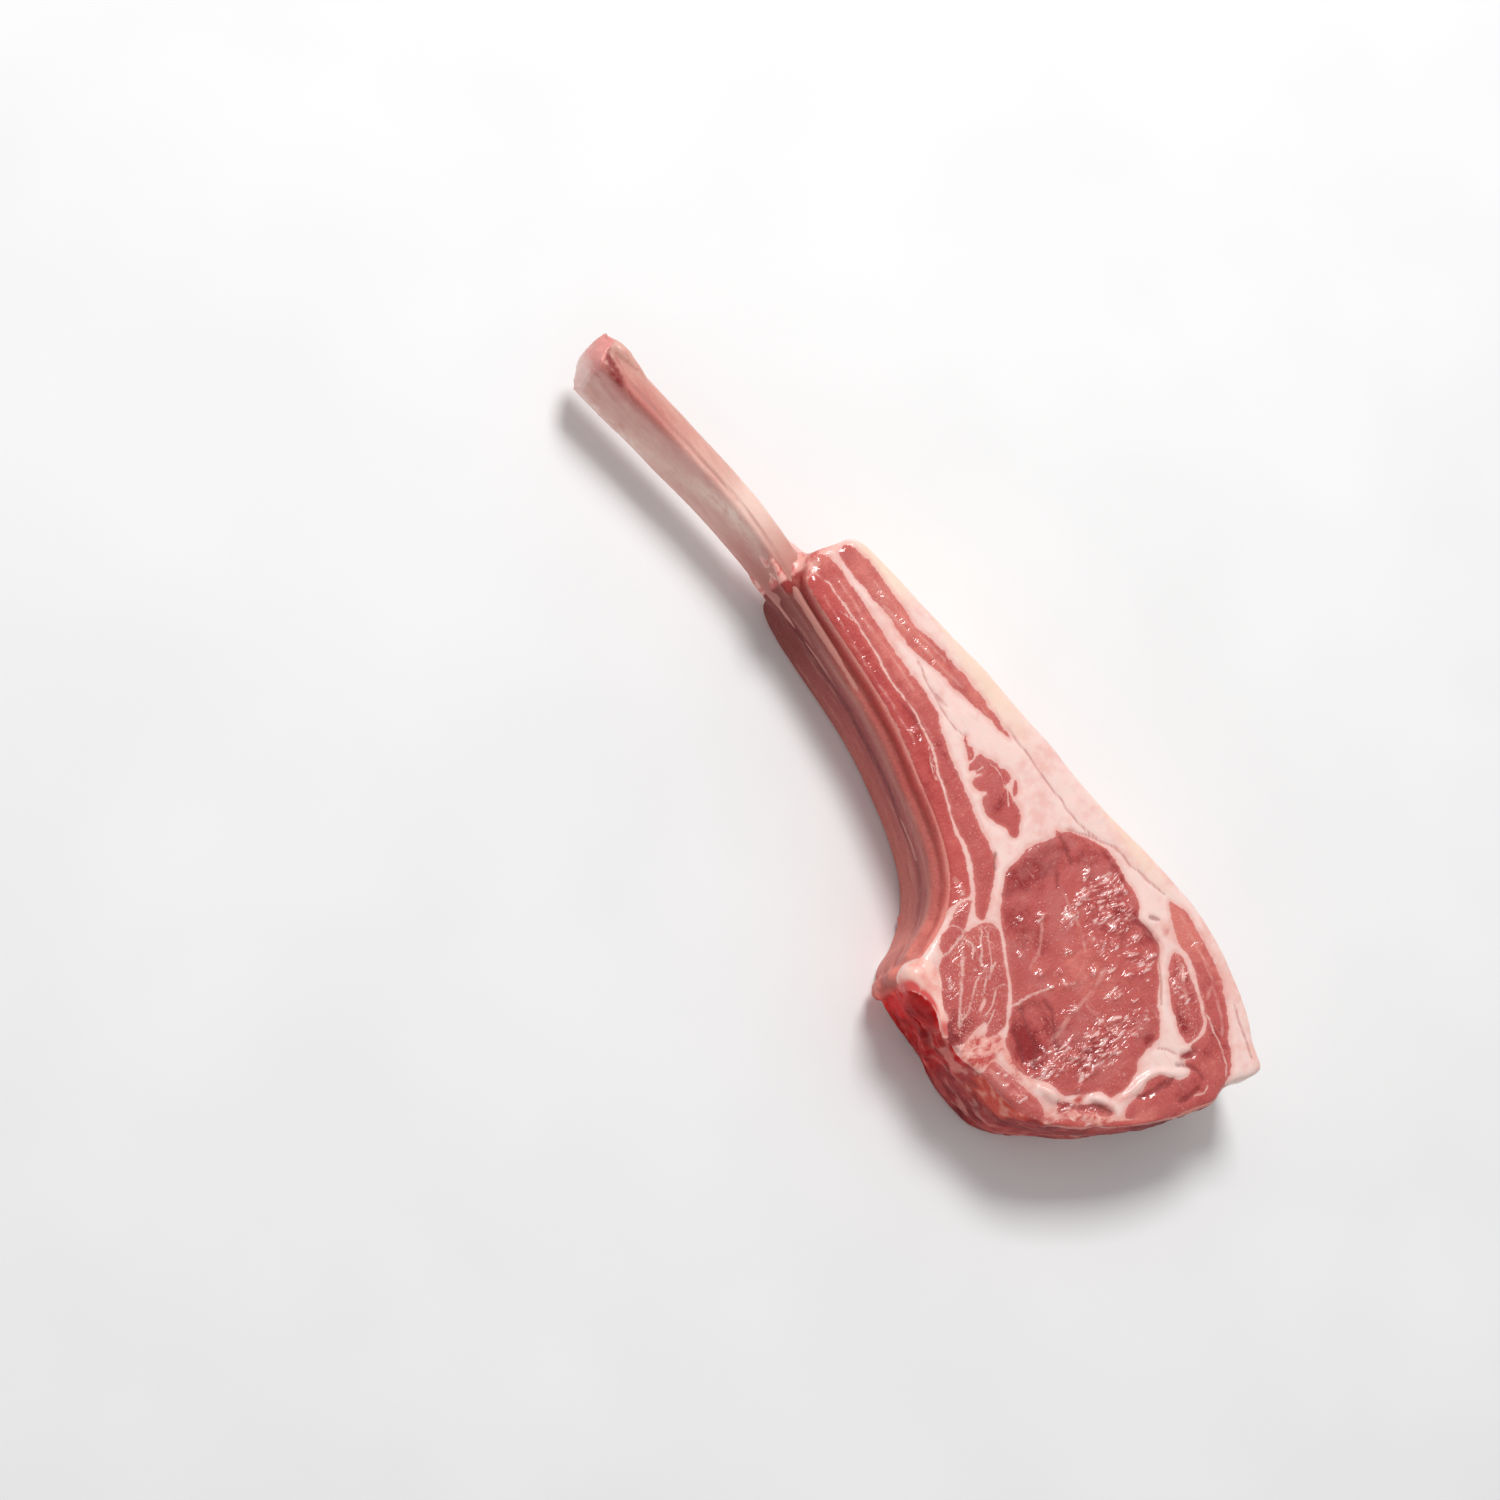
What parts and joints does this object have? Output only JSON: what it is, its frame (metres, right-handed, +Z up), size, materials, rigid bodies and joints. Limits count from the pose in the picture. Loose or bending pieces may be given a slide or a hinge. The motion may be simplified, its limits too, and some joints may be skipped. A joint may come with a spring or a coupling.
{
  "type": "lamb cutlet",
  "caption": "Raw lamb rib cutlet lying on its back cut face: lean muscles in a pale fat cap, and a long bare rib curving out past the narrow end.",
  "frame": {"origin": "on the back cut face, under the middle of the whole cutlet's box", "axes": "+Z up from the back cut face to the front cut face, +Y along the bare rib towards its tip, +X towards the fat cap"},
  "size_m": [0.0588, 0.1858, 0.0233],
  "materials": {
    "fat": "moist pale cream-pink fat",
    "lean_meat": "wet fibrous raw lean meat",
    "bone": "scraped moist bone with a thin skin",
    "gristle": "moist pale pink gristle",
    "marrow_bone": "wet dark red sawn bone"
  },
  "bodies": {
    "root": {"rib_bone": "bone", "backbone": "marrow_bone", "gristle": "gristle", "fat": "fat", "eye_muscle": "lean_meat", "small_muscle": "lean_meat", "outer_strip": "lean_meat", "middle_strip": "lean_meat", "front_rib_strip": "lean_meat", "back_rib_strip": "lean_meat", "chine_muscle": "lean_meat", "cap_muscle_inner": "lean_meat", "cap_muscle_outer": "lean_meat", "foot_muscle": "lean_meat", "trim_muscle": "lean_meat", "side_muscle": "lean_meat"}
  },
  "joints": []
}
